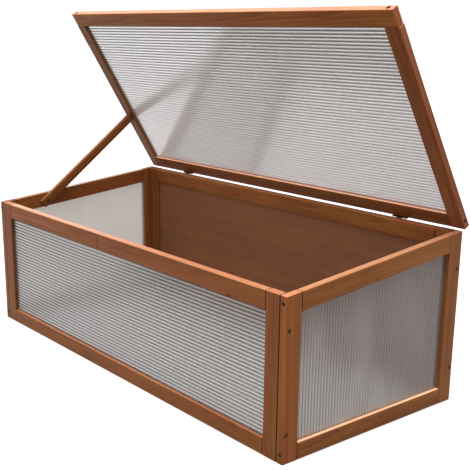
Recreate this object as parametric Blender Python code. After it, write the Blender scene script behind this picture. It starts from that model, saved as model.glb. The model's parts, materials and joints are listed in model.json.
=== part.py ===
"""Cold frame: a low timber box glazed with twin-wall sheet, with a hinged, propped lid.

World frame: +X runs along the length to the right, +Y runs from front to back and +Z is up.
The origin is on the ground, under the middle of the space that the open cold frame takes up.
All lengths are in metres.
"""

from math import atan, cos, pi, radians, sin

import bmesh
import bpy
from mathutils import Matrix, Vector

# Overall box
LENGTH = 1.000
DEPTH = 0.446
FRONT_HEIGHT = 0.292
BACK_HEIGHT = 0.337
ORIGIN_BEHIND_FRONT = 0.2324

# Timber sections
BOARD = 0.015
STILE = 0.034
TOP_RAIL = 0.034
BOTTOM_RAIL = 0.031
EASING = 0.0014
EASING_STEPS = 3
END_CHAMFER = 0.0005
GAP = 0.0003

# Seams: at a board's shoulder, and where the long frames meet the end frames
SHOULDER_SEAM = 0.0005
CORNER_SEAM = 0.0009

# Joints between boards
GROOVE_WIDTH = 0.0046
GROOVE_DEPTH = 0.0050
TENON_LENGTH = 0.0110
TENON_THICKNESS = 0.0050
TENON_WIDTH = 0.0180

# Twin-wall sheet and rear board
SHEET = 0.0040
SHEET_INSET = 0.0043
END_SHEET_SETBACK = 0.0025
SKIN = 0.00050
RIB = 0.00050
CELL = 0.0072

# Lid, modelled flat and closed, then swung open about its hinge axis
LID_LENGTH = 1.000
LID_FRONT_LENGTH = 0.996
LID_DEPTH = 0.457
LID_BOARD = 0.014
LID_RAIL = 0.032
LID_REAR_RAIL = 0.031
LID_SEAT = 0.0010
LID_OPENING = radians(64.25)

# Hinges
HINGE_BEHIND = 0.0038
HINGE_BELOW = 0.0045
HINGE_WIDTH = 0.038
HINGE_INSET = 0.154
LEAF = 0.0012
FRAME_LEAF_DROP = 0.0200
LID_LEAF_RISE = 0.0120
KNUCKLE_RADIUS = 0.0032
KNUCKLE_BORE = 0.0019
KNUCKLE_PLAY = 0.0002
KNUCKLE_CLEARANCE = 0.00045
PIN_RADIUS = 0.0015
PIN_SHOWING = 0.0006
PIN_ROUNDING = 0.0004

# Prop
PROP_WIDTH = 0.020
PROP_THICKNESS = 0.010
PROP_HEEL = 0.0135
PROP_REACH = 0.3064
PROP_TIP_CUT = 0.0045
PROP_ANGLE = radians(37.0)
PIVOT_FROM_FRONT = 0.1136
PIVOT_BELOW_TOP = 0.0180
WASHER = 0.0012
WASHER_RADIUS = 0.0060

# Screws: head radius, head depth, shank radius, length
CORNER_SCREW = (0.0041, 0.0030, 0.0018, 0.030)
LONG_SCREW = (0.0041, 0.0030, 0.0018, 0.052)
PIVOT_SCREW = (0.0042, 0.0022, 0.0018, 0.0240)
SCREW_SIDES = 12
HEAD_SINK = 0.0014

# Heights above the ground of the screws that join the end frames to the long frames
FRONT_SCREWS = (0.0515, 0.2330)
BACK_SCREWS = (0.0680, 0.2650)

# Hinge leaf holes: spacing either side of the middle, mouth radius, bore radius, countersink depth
LEAF_HOLE_SPACING = 0.0125
LEAF_HOLE_DROP = 0.0120
LEAF_HOLE = (0.0028, 0.0017, 0.0009)

# How far a cutter runs past the face that it opens
OVERCUT = 0.002
CHANNEL_OVERCUT = 0.030

HALF = LENGTH / 2
FRONT = -ORIGIN_BEHIND_FRONT
BACK = FRONT + DEPTH
RISE = (BACK_HEIGHT - FRONT_HEIGHT) / DEPTH
SLOPE = atan(RISE)

COLOURS = {
    "timber": ((0.235, 0.085, 0.030), 0.55, 0.0),
    "plywood": ((0.140, 0.050, 0.021), 0.65, 0.0),
    "twin-wall polycarbonate": ((0.780, 0.780, 0.760), 0.25, 0.0),
    "zinc-plated steel": ((0.480, 0.460, 0.420), 0.35, 1.0),
}


def clear_scene():
    for item in list(bpy.data.objects):
        bpy.data.objects.remove(item, do_unlink=True)


def top_height(y):
    """Height of the sloping rim at a depth y."""
    return FRONT_HEIGHT + RISE * (y - FRONT)


def make_material(name, kind):
    colour, roughness, metallic = COLOURS[kind]
    material = bpy.data.materials.new(f"{name} {kind}")
    material.use_nodes = True
    shader = material.node_tree.nodes["Principled BSDF"]
    shader.inputs["Base Color"].default_value = (*colour, 1.0)
    shader.inputs["Roughness"].default_value = roughness
    shader.inputs["Metallic"].default_value = metallic
    if kind == "twin-wall polycarbonate":
        shader.inputs["Alpha"].default_value = 0.45
    return material


def add_object(name, mesh_data, location=(0, 0, 0), kind=None, parent=None):
    """Turn a bmesh into a named object. Without a kind it is a hidden cutter."""
    bmesh.ops.recalc_face_normals(mesh_data, faces=mesh_data.faces)
    mesh = bpy.data.meshes.new(name)
    mesh_data.to_mesh(mesh)
    mesh_data.free()
    item = bpy.data.objects.new(name, mesh)
    item.location = location
    item.parent = parent
    bpy.context.collection.objects.link(item)
    if kind:
        mesh.materials.append(make_material(name, kind))
    else:
        item.hide_render = True
        item.display_type = "WIRE"
    return item


def add_boolean(item, other, operation="DIFFERENCE"):
    modifier = item.modifiers.new(operation.title(), "BOOLEAN")
    modifier.operation = operation
    modifier.solver = "EXACT"
    modifier.object = other


def smooth(item, angle=35):
    item.data.shade_smooth()
    item.data.set_sharp_from_angle(angle=radians(angle))


def add_block(mesh_data, low, high):
    """Add a box between two corners and give back its vertices."""
    low, high = Vector(low), Vector(high)
    matrix = Matrix.Translation((low + high) / 2) @ Matrix.Diagonal((*(high - low), 1.0))
    return bmesh.ops.create_cube(mesh_data, size=1.0, matrix=matrix)["verts"]


def add_turned(mesh_data, profile, start, direction, sides):
    """Add a closed solid of revolution: (radius, depth) points along a direction from start."""
    turn = Vector((0, 0, 1)).rotation_difference(Vector(direction)).to_matrix().to_4x4()
    matrix = Matrix.Translation(start) @ turn
    rings = []
    for radius, depth in profile:
        if radius == 0:
            rings.append([mesh_data.verts.new(matrix @ Vector((0, 0, depth)))])
            continue
        ring = []
        for step in range(sides):
            angle = 2 * pi * (step + 0.5) / sides
            point = Vector((radius * cos(angle), radius * sin(angle), depth))
            ring.append(mesh_data.verts.new(matrix @ point))
        rings.append(ring)
    for first, second in zip(rings, rings[1:]):
        for step in range(sides):
            after = (step + 1) % sides
            if len(first) == 1:
                mesh_data.faces.new((first[0], second[step], second[after]))
            elif len(second) == 1:
                mesh_data.faces.new((first[step], first[after], second[0]))
            else:
                mesh_data.faces.new((first[step], first[after], second[after], second[step]))


def screw_profile(size, grow=0.0, mouth=0.0):
    """Countersunk screw outline; grow widens it into its own hole, mouth carries it outwards."""
    head, depth, shank, length = size
    points = [(0, -mouth), (head + grow, -mouth)]
    if mouth:
        points.append((head + grow, grow))
    points += [
        (shank + grow, depth + grow),
        (shank + grow, length - 2 * shank + grow),
        (0, length + grow),
    ]
    return points


def add_tenon(mesh_data, sign, width, middle):
    """Grow a tenon out of the board end that faces along X."""
    ends = [f for f in mesh_data.faces if f.normal.x * sign > 0.99]
    end = max(ends, key=lambda face: face.calc_area())
    # A small inset makes the tenon's root, and its corners are then set to the tenon's section.
    bmesh.ops.inset_individual(mesh_data, faces=[end], thickness=TENON_WIDTH / 20)
    centre = end.calc_center_median()
    for vert in end.verts:
        side_y = 1 if vert.co.y > centre.y else -1
        side_z = 1 if vert.co.z > centre.z else -1
        vert.co.y = side_y * TENON_THICKNESS / 2
        vert.co.z = middle + side_z * width / 2
    tip = bmesh.ops.extrude_discrete_faces(mesh_data, faces=[end])["faces"][0]
    bmesh.ops.translate(mesh_data, verts=list(tip.verts), vec=(sign * TENON_LENGTH, 0, 0))


def ease_edges(mesh_data, grain):
    """Round the edges that run along the grain and take the sharpness off the ends."""
    mesh_data.normal_update()
    ends = [face for face in mesh_data.faces if abs(face.normal[grain]) > 0.7]
    round_ends = {edge for face in ends for edge in face.edges}
    along = [edge for edge in mesh_data.edges if edge not in round_ends]
    bmesh.ops.bevel(mesh_data, geom=along, offset=EASING, segments=EASING_STEPS,
                    affect="EDGES", profile=0.5)
    mesh_data.normal_update()
    ends = [face for face in mesh_data.faces if abs(face.normal[grain]) > 0.7]
    round_ends = list({edge for face in ends for edge in face.edges})
    bmesh.ops.bevel(mesh_data, geom=round_ends, offset=END_CHAMFER, segments=1,
                    affect="EDGES", profile=0.5)
    mesh_data.normal_update()


def make_board(name, low, high, shear=None, tenons=False, cuts=None, kind="timber", parent=None):
    """A planed board between two corners, in its parent's frame.

    shear "top" lays the top face on the slope of the rim and "all" shears the whole board.
    cuts is a mesh of closed shapes, in the parent's frame, that are taken out of the board.
    """
    low, high = Vector(low), Vector(high)
    middle = (low + high) / 2
    mesh_data = bmesh.new()
    add_block(mesh_data, low - middle, high - middle)
    for vert in mesh_data.verts:
        if shear == "all" or (shear == "top" and vert.co.z > 0):
            vert.co.z += RISE * vert.co.y
    size = high - low
    ease_edges(mesh_data, max(range(3), key=lambda axis: size[axis]))
    if tenons:
        for sign in (-1, 1):
            add_tenon(mesh_data, sign, TENON_WIDTH, 0)
    board = add_object(name, mesh_data, middle, kind, parent)
    if cuts:
        add_boolean(board, add_object(f"{name}_cutter", cuts, parent=parent))
    return board


def make_screw(name, size, start, direction, parent=None):
    """A countersunk screw whose head is sunk below the surface at start."""
    mesh_data = bmesh.new()
    add_turned(mesh_data, screw_profile(size), (0, 0, 0), direction, SCREW_SIDES)
    head = Vector(start) + Vector(direction) * HEAD_SINK
    screw = add_object(name, mesh_data, head, "zinc-plated steel", parent)
    smooth(screw)
    return screw


def add_screw_hole(mesh_data, size, start, direction):
    head = Vector(start) + Vector(direction) * HEAD_SINK
    profile = screw_profile(size, grow=GAP, mouth=OVERCUT)
    add_turned(mesh_data, profile, head, direction, SCREW_SIDES)


def make_sheet(name, low, high, channel, across, sloped=False, parent=None):
    """Twin-wall sheet: two skins joined by ribs, with channels open at both ends."""
    low, high = Vector(low), Vector(high)
    middle = (low + high) / 2
    thin = next(axis for axis in "xyz" if axis not in (channel, across))
    index = {"x": 0, "y": 1, "z": 2}
    mesh_data = bmesh.new()
    for vert in add_block(mesh_data, low - middle, high - middle):
        if sloped and vert.co.z > 0:
            vert.co.z += RISE * vert.co.y
    sheet = add_object(name, mesh_data, middle, "twin-wall polycarbonate", parent)

    width = (high - low)[index[across]]
    cells = round(width / CELL)
    pitch = (width - RIB) / cells
    channels = bmesh.new()
    for cell in range(cells):
        near, far = Vector((0, 0, 0)), Vector((0, 0, 0))
        reach = (high - low)[index[channel]] / 2 + CHANNEL_OVERCUT
        near[index[channel]] = -reach
        far[index[channel]] = reach
        near[index[across]] = -width / 2 + RIB + cell * pitch
        far[index[across]] = near[index[across]] + pitch - RIB
        near[index[thin]] = -SHEET / 2 + SKIN
        far[index[thin]] = SHEET / 2 - SKIN
        add_block(channels, near, far)
    add_boolean(sheet, add_object(f"{name}_cutter", channels, middle, parent=parent))
    return sheet


def make_long_frame(side, y_low):
    """Front or back frame: stiles, rails tenoned between them, and the panel in their groove."""
    y_high = y_low + BOARD
    centre_y = y_low + BOARD / 2
    outer = HALF - BOARD - CORNER_SEAM
    inner = outer - STILE
    crown = top_height(centre_y)
    screw_heights = FRONT_SCREWS if side == "front" else BACK_SCREWS
    slot = (centre_y - GROOVE_WIDTH / 2, centre_y + GROOVE_WIDTH / 2)
    mortise = (centre_y - TENON_THICKNESS / 2 - GAP, centre_y + TENON_THICKNESS / 2 + GAP)
    rail_middles = (BOTTOM_RAIL / 2, crown - TOP_RAIL / 2)

    for label, sign in (("left", -1), ("right", 1)):
        cuts = bmesh.new()
        for middle in rail_middles:
            reach = TENON_WIDTH / 2 + GAP
            depth = TENON_LENGTH + 2 * GAP
            ends = sorted((sign * (inner - OVERCUT), sign * (inner + depth)))
            add_block(cuts, (ends[0], mortise[0], middle - reach), (ends[1], mortise[1], middle + reach))
        ends = sorted((sign * (inner - OVERCUT), sign * (inner + GROOVE_DEPTH)))
        add_block(cuts, (ends[0], slot[0], BOTTOM_RAIL - GROOVE_DEPTH),
                  (ends[1], slot[1], crown - TOP_RAIL + GROOVE_DEPTH))
        for height in screw_heights:
            add_screw_hole(cuts, CORNER_SCREW, (sign * HALF, centre_y, height), (-sign, 0, 0))
        ends = sorted((sign * inner, sign * outer))
        make_board(f"{side}_{label}_stile", (ends[0], y_low, 0), (ends[1], y_high, crown),
                   shear="top", cuts=cuts)

    run = inner - SHOULDER_SEAM
    for label, base, crest, shear in (
        ("bottom", 0, BOTTOM_RAIL, None),
        ("top", crown - TOP_RAIL, crown, "top"),
    ):
        edge = crest if label == "bottom" else base
        sign = -1 if label == "bottom" else 1
        levels = sorted((edge - sign * OVERCUT, edge + sign * GROOVE_DEPTH))
        cuts = bmesh.new()
        add_block(cuts, (-run - OVERCUT, slot[0], levels[0]), (run + OVERCUT, slot[1], levels[1]))
        make_board(f"{side}_{label}_rail", (-run, y_low, base), (run, y_high, crest),
                   shear=shear, tenons=True, cuts=cuts)

    low = (-inner - SHEET_INSET, centre_y - SHEET / 2, BOTTOM_RAIL - SHEET_INSET)
    high = (inner + SHEET_INSET, centre_y + SHEET / 2, crown - TOP_RAIL + SHEET_INSET)
    if side == "front":
        make_sheet("front_glazing_sheet", low, high, "x", "z")
    else:
        mesh_data = bmesh.new()
        low, high = Vector(low), Vector(high)
        middle = (low + high) / 2
        add_block(mesh_data, low - middle, high - middle)
        add_object("back_plywood_board", mesh_data, middle, "plywood")


def make_end_frame(side, sign):
    """Left or right end: two stiles up to the sloping rim, with rails screwed between them."""
    outer, inner = sign * HALF, sign * (HALF - BOARD)
    x_low, x_high = min(outer, inner), max(outer, inner)
    centre_x = (outer + inner) / 2
    sheet_x = centre_x - sign * END_SHEET_SETBACK
    slot = (sheet_x - GROOVE_WIDTH / 2, sheet_x + GROOVE_WIDTH / 2)
    shoulders = (FRONT + STILE, BACK - STILE)

    for label, y_low, y_high, direction in (
        ("front", FRONT, shoulders[0], 1),
        ("rear", shoulders[1], BACK, -1),
    ):
        face = y_low if label == "front" else y_high
        shoulder = y_high if label == "front" else y_low
        middle_y = (y_low + y_high) / 2
        cuts = bmesh.new()
        reach = sorted((shoulder + direction * OVERCUT, shoulder - direction * GROOVE_DEPTH))
        ceiling = top_height(shoulder) - TOP_RAIL + GROOVE_DEPTH
        add_block(cuts, (slot[0], reach[0], BOTTOM_RAIL - GROOVE_DEPTH), (slot[1], reach[1], ceiling))
        for height in rail_screw_heights(shoulder):
            add_screw_hole(cuts, LONG_SCREW, (centre_x, face, height), (0, direction, 0))
        corner_y = FRONT + BOARD / 2 if label == "front" else BACK - BOARD / 2
        for height in FRONT_SCREWS if label == "front" else BACK_SCREWS:
            add_screw_hole(cuts, CORNER_SCREW, (outer, corner_y, height), (-sign, 0, 0))
        make_board(f"{side}_{label}_stile", (x_low, y_low, 0),
                   (x_high, y_high, top_height(middle_y)), shear="top", cuts=cuts)

    y_low, y_high = shoulders[0] + SHOULDER_SEAM, shoulders[1] - SHOULDER_SEAM
    crown = top_height((y_low + y_high) / 2)
    for label, base, crest, shear in (
        ("bottom", 0, BOTTOM_RAIL, None),
        ("top", crown - TOP_RAIL, crown, "all"),
    ):
        cuts = bmesh.new()
        edge = crest if label == "bottom" else base
        away = -1 if label == "bottom" else 1
        levels = sorted((edge - away * OVERCUT, edge + away * GROOVE_DEPTH))
        middle_y = (y_low + y_high) / 2
        slot_block = add_block(cuts, (slot[0], y_low - OVERCUT, levels[0]),
                               (slot[1], y_high + OVERCUT, levels[1]))
        if shear:
            for vert in slot_block:
                vert.co.z += RISE * (vert.co.y - middle_y)
        for face, shoulder, direction in (
            (FRONT, shoulders[0], 1),
            (BACK, shoulders[1], -1),
        ):
            height = rail_screw_heights(shoulder)[0 if label == "bottom" else 1]
            add_screw_hole(cuts, LONG_SCREW, (centre_x, face, height), (0, direction, 0))
        if label == "top" and side == "left":
            add_screw_hole(cuts, PIVOT_SCREW, pivot_head(), (-1, 0, 0))
        make_board(f"{side}_{label}_rail", (x_low, y_low, base), (x_high, y_high, crest),
                   shear=shear, cuts=cuts)

    for place, face, shoulder, direction in (
        ("front", FRONT, shoulders[0], 1),
        ("rear", BACK, shoulders[1], -1),
    ):
        for level, height in zip(("lower", "upper"), rail_screw_heights(shoulder)):
            make_screw(f"{side}_{place}_{level}_rail_screw", LONG_SCREW,
                       (centre_x, face, height), (0, direction, 0))
    for place, corner_y, heights in (
        ("front", FRONT + BOARD / 2, FRONT_SCREWS),
        ("rear", BACK - BOARD / 2, BACK_SCREWS),
    ):
        for level, height in zip(("lower", "upper"), heights):
            make_screw(f"{side}_{place}_{level}_corner_screw", CORNER_SCREW,
                       (outer, corner_y, height), (-sign, 0, 0))

    low = (sheet_x - SHEET / 2, shoulders[0] - SHEET_INSET, BOTTOM_RAIL - SHEET_INSET)
    high = (sheet_x + SHEET / 2, shoulders[1] + SHEET_INSET, crown - TOP_RAIL + SHEET_INSET)
    make_sheet(f"{side}_glazing_sheet", low, high, "z", "y", sloped=True)


def rail_screw_heights(y):
    """Heights of the screws that go through a stile into the two rail ends at depth y."""
    return BOTTOM_RAIL / 2, top_height(y) - TOP_RAIL / 2


def pivot_centre():
    y = FRONT + PIVOT_FROM_FRONT
    return Vector((-HALF + BOARD + 2 * GAP + WASHER, y, top_height(y) - PIVOT_BELOW_TOP))


def pivot_head():
    """Underside of the pivot screw's head, on the free face of the prop."""
    return pivot_centre() + Vector((PROP_THICKNESS + 2 * GAP, 0, 0))


def hinge_axis():
    return Vector((0, BACK + HINGE_BEHIND, BACK_HEIGHT - HINGE_BELOW))


def make_lid():
    """The lid, drawn flat with its rear lower edge on the local X axis, then swung open."""
    axis = bpy.data.objects.new("lid_axis", None)
    axis.location = hinge_axis()
    axis.rotation_euler = (SLOPE - LID_OPENING, 0, 0)
    bpy.context.collection.objects.link(axis)
    corner = Vector((0, BACK, BACK_HEIGHT + LID_SEAT)) - hinge_axis()
    corner.rotate(Matrix.Rotation(-SLOPE, 3, "X"))
    lid = bpy.data.objects.new("lid_frame", None)
    lid.location = corner
    lid.parent = axis
    bpy.context.collection.objects.link(lid)

    half = LID_LENGTH / 2
    bar = half - LID_RAIL
    nose = -LID_DEPTH
    shoulder = nose + LID_RAIL
    level = LID_BOARD / 2
    slot = (level - GROOVE_WIDTH / 2, level + GROOVE_WIDTH / 2)
    side_line = half - LID_RAIL / 2

    cuts = bmesh.new()
    add_block(cuts, (-bar - GROOVE_DEPTH, shoulder - GROOVE_DEPTH, slot[0]),
              (bar + GROOVE_DEPTH, shoulder + OVERCUT, slot[1]))
    for sign in (-1, 1):
        add_screw_hole(cuts, LONG_SCREW, (sign * side_line, nose, level), (0, 1, 0))
    make_board("lid_front_rail", (-LID_FRONT_LENGTH / 2, nose, 0),
               (LID_FRONT_LENGTH / 2, shoulder, LID_BOARD), cuts=cuts, parent=lid)

    run = bar - SHOULDER_SEAM
    rear = -LID_REAR_RAIL
    cuts = bmesh.new()
    add_block(cuts, (-run - OVERCUT, rear - OVERCUT, slot[0]),
              (run + OVERCUT, rear + GROOVE_DEPTH, slot[1]))
    for sign in (-1, 1):
        add_screw_hole(cuts, LONG_SCREW, (sign * half, rear / 2, level), (-sign, 0, 0))
    make_board("lid_rear_rail", (-run, rear, 0), (run, 0, LID_BOARD), cuts=cuts, parent=lid)

    for label, sign in (("left", -1), ("right", 1)):
        cuts = bmesh.new()
        ends = sorted((sign * (bar - OVERCUT), sign * (bar + GROOVE_DEPTH)))
        add_block(cuts, (ends[0], shoulder - OVERCUT, slot[0]), (ends[1], rear + GROOVE_DEPTH, slot[1]))
        add_screw_hole(cuts, LONG_SCREW, (sign * side_line, nose, level), (0, 1, 0))
        add_screw_hole(cuts, LONG_SCREW, (sign * half, rear / 2, level), (-sign, 0, 0))
        ends = sorted((sign * bar, sign * half))
        make_board(f"lid_{label}_rail", (ends[0], shoulder + SHOULDER_SEAM, 0), (ends[1], 0, LID_BOARD),
                   cuts=cuts, parent=lid)
        make_screw(f"lid_{label}_front_screw", LONG_SCREW, (sign * side_line, nose, level),
                   (0, 1, 0), lid)
        make_screw(f"lid_{label}_rear_screw", LONG_SCREW, (sign * half, rear / 2, level),
                   (-sign, 0, 0), lid)

    low = (-bar - SHEET_INSET, shoulder - SHEET_INSET, level - SHEET / 2)
    high = (bar + SHEET_INSET, rear + SHEET_INSET, level + SHEET / 2)
    make_sheet("lid_glazing_sheet", low, high, "x", "y", parent=lid)
    return axis, corner


def add_tube(mesh_data, low, high, radius, sides, centre=(0, 0)):
    """Add a cylinder along X between two stations."""
    profile = [(0, 0), (radius, 0), (radius, high - low), (0, high - low)]
    add_turned(mesh_data, profile, (low, centre[0], centre[1]), (1, 0, 0), sides)


def make_leaf(name, plate, tab, stations, centre, holes, x, parent=None):
    """A hinge leaf: plate and knuckles in one, bored for the pin and countersunk for screws."""
    width = HINGE_WIDTH / 2
    mesh_data = bmesh.new()
    add_block(mesh_data, (-width, plate[0][0], plate[0][1]), (width, plate[1][0], plate[1][1]))
    leaf = add_object(name, mesh_data, (x, 0, 0), "zinc-plated steel", parent)

    tabs = bmesh.new()
    for low, high in stations:
        add_block(tabs, (low, tab[0][0], tab[0][1]), (high, tab[1][0], tab[1][1]))
    add_boolean(leaf, add_object(f"{name}_tab_cutter", tabs, (x, 0, 0), parent=parent), "UNION")
    knuckles = bmesh.new()
    for low, high in stations:
        add_tube(knuckles, low, high, KNUCKLE_RADIUS, 20, centre)
    add_boolean(leaf, add_object(f"{name}_knuckle_cutter", knuckles, (x, 0, 0), parent=parent), "UNION")

    mouth, bore, countersink = LEAF_HOLE
    outside = plate[1][0]
    bores = bmesh.new()
    add_tube(bores, -width - OVERCUT, width + OVERCUT, KNUCKLE_BORE, 16, centre)
    for hole_x, hole_z in holes:
        profile = [(0, -OVERCUT), (mouth, -OVERCUT), (mouth, 0), (bore, countersink),
                   (bore, LEAF + OVERCUT), (0, LEAF + OVERCUT)]
        add_turned(bores, profile, (hole_x, outside, hole_z), (0, -1, 0), 12)
    add_boolean(leaf, add_object(f"{name}_bore_cutter", bores, (x, 0, 0), parent=parent))
    smooth(leaf)
    return leaf


def make_hinges(axis, corner):
    """Two butt hinges: one leaf on the back frame, one on the lid's rear edge, and a pin."""
    half = HINGE_WIDTH / 2
    third = HINGE_WIDTH / 3
    outer_knuckles = ((-half, -third / 2 - KNUCKLE_PLAY), (third / 2 + KNUCKLE_PLAY, half))
    middle_knuckle = ((-third / 2 + KNUCKLE_PLAY, third / 2 - KNUCKLE_PLAY),)
    clear = KNUCKLE_RADIUS + KNUCKLE_CLEARANCE
    centre = hinge_axis()
    for label, sign in (("left", -1), ("right", 1)):
        x = sign * (HALF - HINGE_INSET)
        face = BACK + GAP
        plate = ((face, centre.z - FRAME_LEAF_DROP), (face + LEAF, centre.z - clear))
        tab = ((face, centre.z - clear - OVERCUT), (face + LEAF, centre.z))
        height = centre.z - LEAF_HOLE_DROP
        holes = [(-LEAF_HOLE_SPACING, height), (LEAF_HOLE_SPACING, height)]
        make_leaf(f"{label}_hinge_frame_leaf", plate, tab, outer_knuckles,
                  (centre.y, centre.z), holes, x)

        face = corner.y + GAP
        foot = corner.z
        plate = ((face, clear), (face + LEAF, foot + LID_LEAF_RISE))
        tab = ((face, 0.0), (face + LEAF, clear + OVERCUT))
        height = foot + LID_BOARD / 2
        holes = [(-LEAF_HOLE_SPACING, height), (LEAF_HOLE_SPACING, height)]
        make_leaf(f"{label}_hinge_lid_leaf", plate, tab, middle_knuckle, (0, 0), holes, x, axis)

        mesh_data = bmesh.new()
        reach = half + PIN_SHOWING
        edge = PIN_ROUNDING
        profile = [(0, 0), (PIN_RADIUS - edge, 0), (PIN_RADIUS, edge), (PIN_RADIUS, 2 * reach - edge),
                   (PIN_RADIUS - edge, 2 * reach), (0, 2 * reach)]
        add_turned(mesh_data, profile, (-reach, 0, 0), (1, 0, 0), 16)
        pin = add_object(f"{label}_hinge_pin", mesh_data, (x, centre.y, centre.z), "zinc-plated steel")
        smooth(pin)


def make_prop():
    """The prop: a stick that pivots on a screw inside the left end and stands under the lid."""
    pivot = pivot_centre()
    axis = bpy.data.objects.new("prop_axis", None)
    axis.location = pivot
    axis.rotation_euler = (PROP_ANGLE, 0, 0)
    bpy.context.collection.objects.link(axis)

    mesh_data = bmesh.new()
    half = PROP_WIDTH / 2
    for vert in add_block(mesh_data, (0, -PROP_HEEL, -half), (PROP_THICKNESS, PROP_REACH, half)):
        if vert.co.y > 0 and vert.co.z > 0:
            vert.co.y -= PROP_TIP_CUT
    ease_edges(mesh_data, 1)
    stick = add_object("prop_stick", mesh_data, (0, 0, 0), "timber", axis)
    bore = bmesh.new()
    add_tube(bore, -OVERCUT, PROP_THICKNESS + OVERCUT, PIVOT_SCREW[2] + GAP, SCREW_SIDES)
    add_boolean(stick, add_object("prop_stick_cutter", bore, parent=axis))

    washer = bmesh.new()
    add_tube(washer, 0, WASHER, WASHER_RADIUS, 20)
    place = (-HALF + BOARD + GAP, pivot.y, pivot.z)
    disc = add_object("prop_washer", washer, place, "zinc-plated steel")
    bore = bmesh.new()
    add_tube(bore, -OVERCUT, WASHER + OVERCUT, PIVOT_SCREW[2] + GAP, SCREW_SIDES)
    add_boolean(disc, add_object("prop_washer_cutter", bore, place))
    smooth(disc)

    head, depth, shank, length = PIVOT_SCREW
    mesh_data = bmesh.new()
    profile = [(0, -depth), (head * 0.55, -depth), (head * 0.9, -depth * 0.6), (head, 0),
               (shank, 0), (shank, length - 2 * shank), (0, length)]
    add_turned(mesh_data, profile, (0, 0, 0), (-1, 0, 0), SCREW_SIDES)
    screw = add_object("prop_pivot_screw", mesh_data, pivot_head(), "zinc-plated steel")
    smooth(screw)


clear_scene()
make_long_frame("front", FRONT)
make_long_frame("back", BACK - BOARD)
make_end_frame("left", -1)
make_end_frame("right", 1)
lid_axis, lid_corner = make_lid()
make_hinges(lid_axis, lid_corner)
make_prop()
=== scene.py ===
"""Looks of the cold frame: its timber, twin-wall sheets, screws, hinges and prop, in a studio."""

import json
from math import cos, pi, radians, sin

import bmesh
import bpy
import numpy as np
from mathutils import Matrix, Vector

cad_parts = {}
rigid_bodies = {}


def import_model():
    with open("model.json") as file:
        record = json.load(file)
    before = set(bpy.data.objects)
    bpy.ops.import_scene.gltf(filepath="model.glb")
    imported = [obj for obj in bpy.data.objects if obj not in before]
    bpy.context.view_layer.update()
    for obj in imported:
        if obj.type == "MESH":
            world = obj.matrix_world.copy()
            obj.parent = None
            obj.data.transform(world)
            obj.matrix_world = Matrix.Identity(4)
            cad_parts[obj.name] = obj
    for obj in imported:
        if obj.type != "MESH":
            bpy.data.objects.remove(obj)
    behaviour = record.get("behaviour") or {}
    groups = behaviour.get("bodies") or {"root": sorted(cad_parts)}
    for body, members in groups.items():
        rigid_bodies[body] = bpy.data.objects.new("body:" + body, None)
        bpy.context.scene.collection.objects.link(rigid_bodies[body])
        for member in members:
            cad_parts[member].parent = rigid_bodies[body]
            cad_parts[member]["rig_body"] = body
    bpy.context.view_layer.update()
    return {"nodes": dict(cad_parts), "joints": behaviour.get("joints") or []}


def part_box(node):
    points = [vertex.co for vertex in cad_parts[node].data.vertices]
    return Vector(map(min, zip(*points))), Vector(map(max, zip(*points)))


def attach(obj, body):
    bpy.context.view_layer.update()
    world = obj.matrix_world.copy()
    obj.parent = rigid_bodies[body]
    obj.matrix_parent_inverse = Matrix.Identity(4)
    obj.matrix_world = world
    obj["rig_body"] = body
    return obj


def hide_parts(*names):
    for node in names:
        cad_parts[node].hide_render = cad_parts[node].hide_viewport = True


# Camera: angles, distance and target in metres, lens and sensor in millimetres
AZIMUTH = radians(51.84)
ELEVATION = radians(15.59)
ROLL = radians(0.11)
DISTANCE = 1.955
TARGET = Vector((-0.0083, -0.0092, 0.1789))
LENS = 68.60
SENSOR_WIDTH = 36.0
SHIFT = (0.0768, 0.0844)

# Twin-wall sheet: width of a cell, thickness of rib and skin, fillet beside a rib, how far the
# skins dip between ribs, and the angle in degrees over which an edge stays sharp
CELL = 0.0072
RIB = 0.0005
SKIN = 0.0005
FILLET = 0.00045
SINK = 0.00010
SHEET_SHARP = 40

# How each sheet's skins look, as sheet_skin takes it
SHEET_LOOKS = {
    "front_glazing_sheet": dict(clear=1.0, line=0.04, haze=0.19, line_haze=0.0, frost=0.36,
                                sheen=1.6, fade_along=0.17),
    "left_glazing_sheet": dict(clear=0.97, line=0.55, haze=0.42, line_haze=0.22,
                               line_sheen=0.6, fade_under=0.85, backlit=0.5,
                               hue=(1.03, 0.985, 0.94)),
    "right_glazing_sheet": dict(clear=0.72, line=0.34, haze=0.13, line_haze=0.09, sheen=0.9,
                                line_sheen=0.35, bleary=0.7, hue=(1.06, 0.965, 0.90)),
    "lid_glazing_sheet": dict(clear=0.97, line=0.02, haze=0.21, line_haze=0.0, sheen=2.7,
                              top_sheen=0.25, fade=0.30, hue=(1.0, 0.965, 0.965)),
}

# Screws: head radius, head depth, shank radius, length
TIMBER_SCREW = (0.0041, 0.0030, 0.0018, 0.030)
LONG_SCREW = (0.0041, 0.0030, 0.0018, 0.052)
PIVOT_SCREW = (0.0042, 0.0022, 0.0018, 0.024)
LEAF_SCREW = (0.0027, 0.0010, 0.0014, 0.012)

# Step at the edge of a flat head, distance between threads, and the angle in degrees over which
# an edge of a carved mesh stays sharp
SCREW_RIM = 0.00025
THREAD_PITCH = 0.0016
CARVED_SHARP = 30

# Hinge leaves: holes to either side of the middle and below the pin, thickness, gap to the lid,
# how far a screw's head stands proud of its leaf, and thickness of the lid's boards
LEAF_HOLE_SPACING = 0.0125
LEAF_HOLE_DROP = 0.0120
LEAF_THICKNESS = 0.0012
LEAF_GAP = 0.0003
LEAF_SCREW_RAISE = 0.0001
LID_BOARD = 0.014

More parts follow.
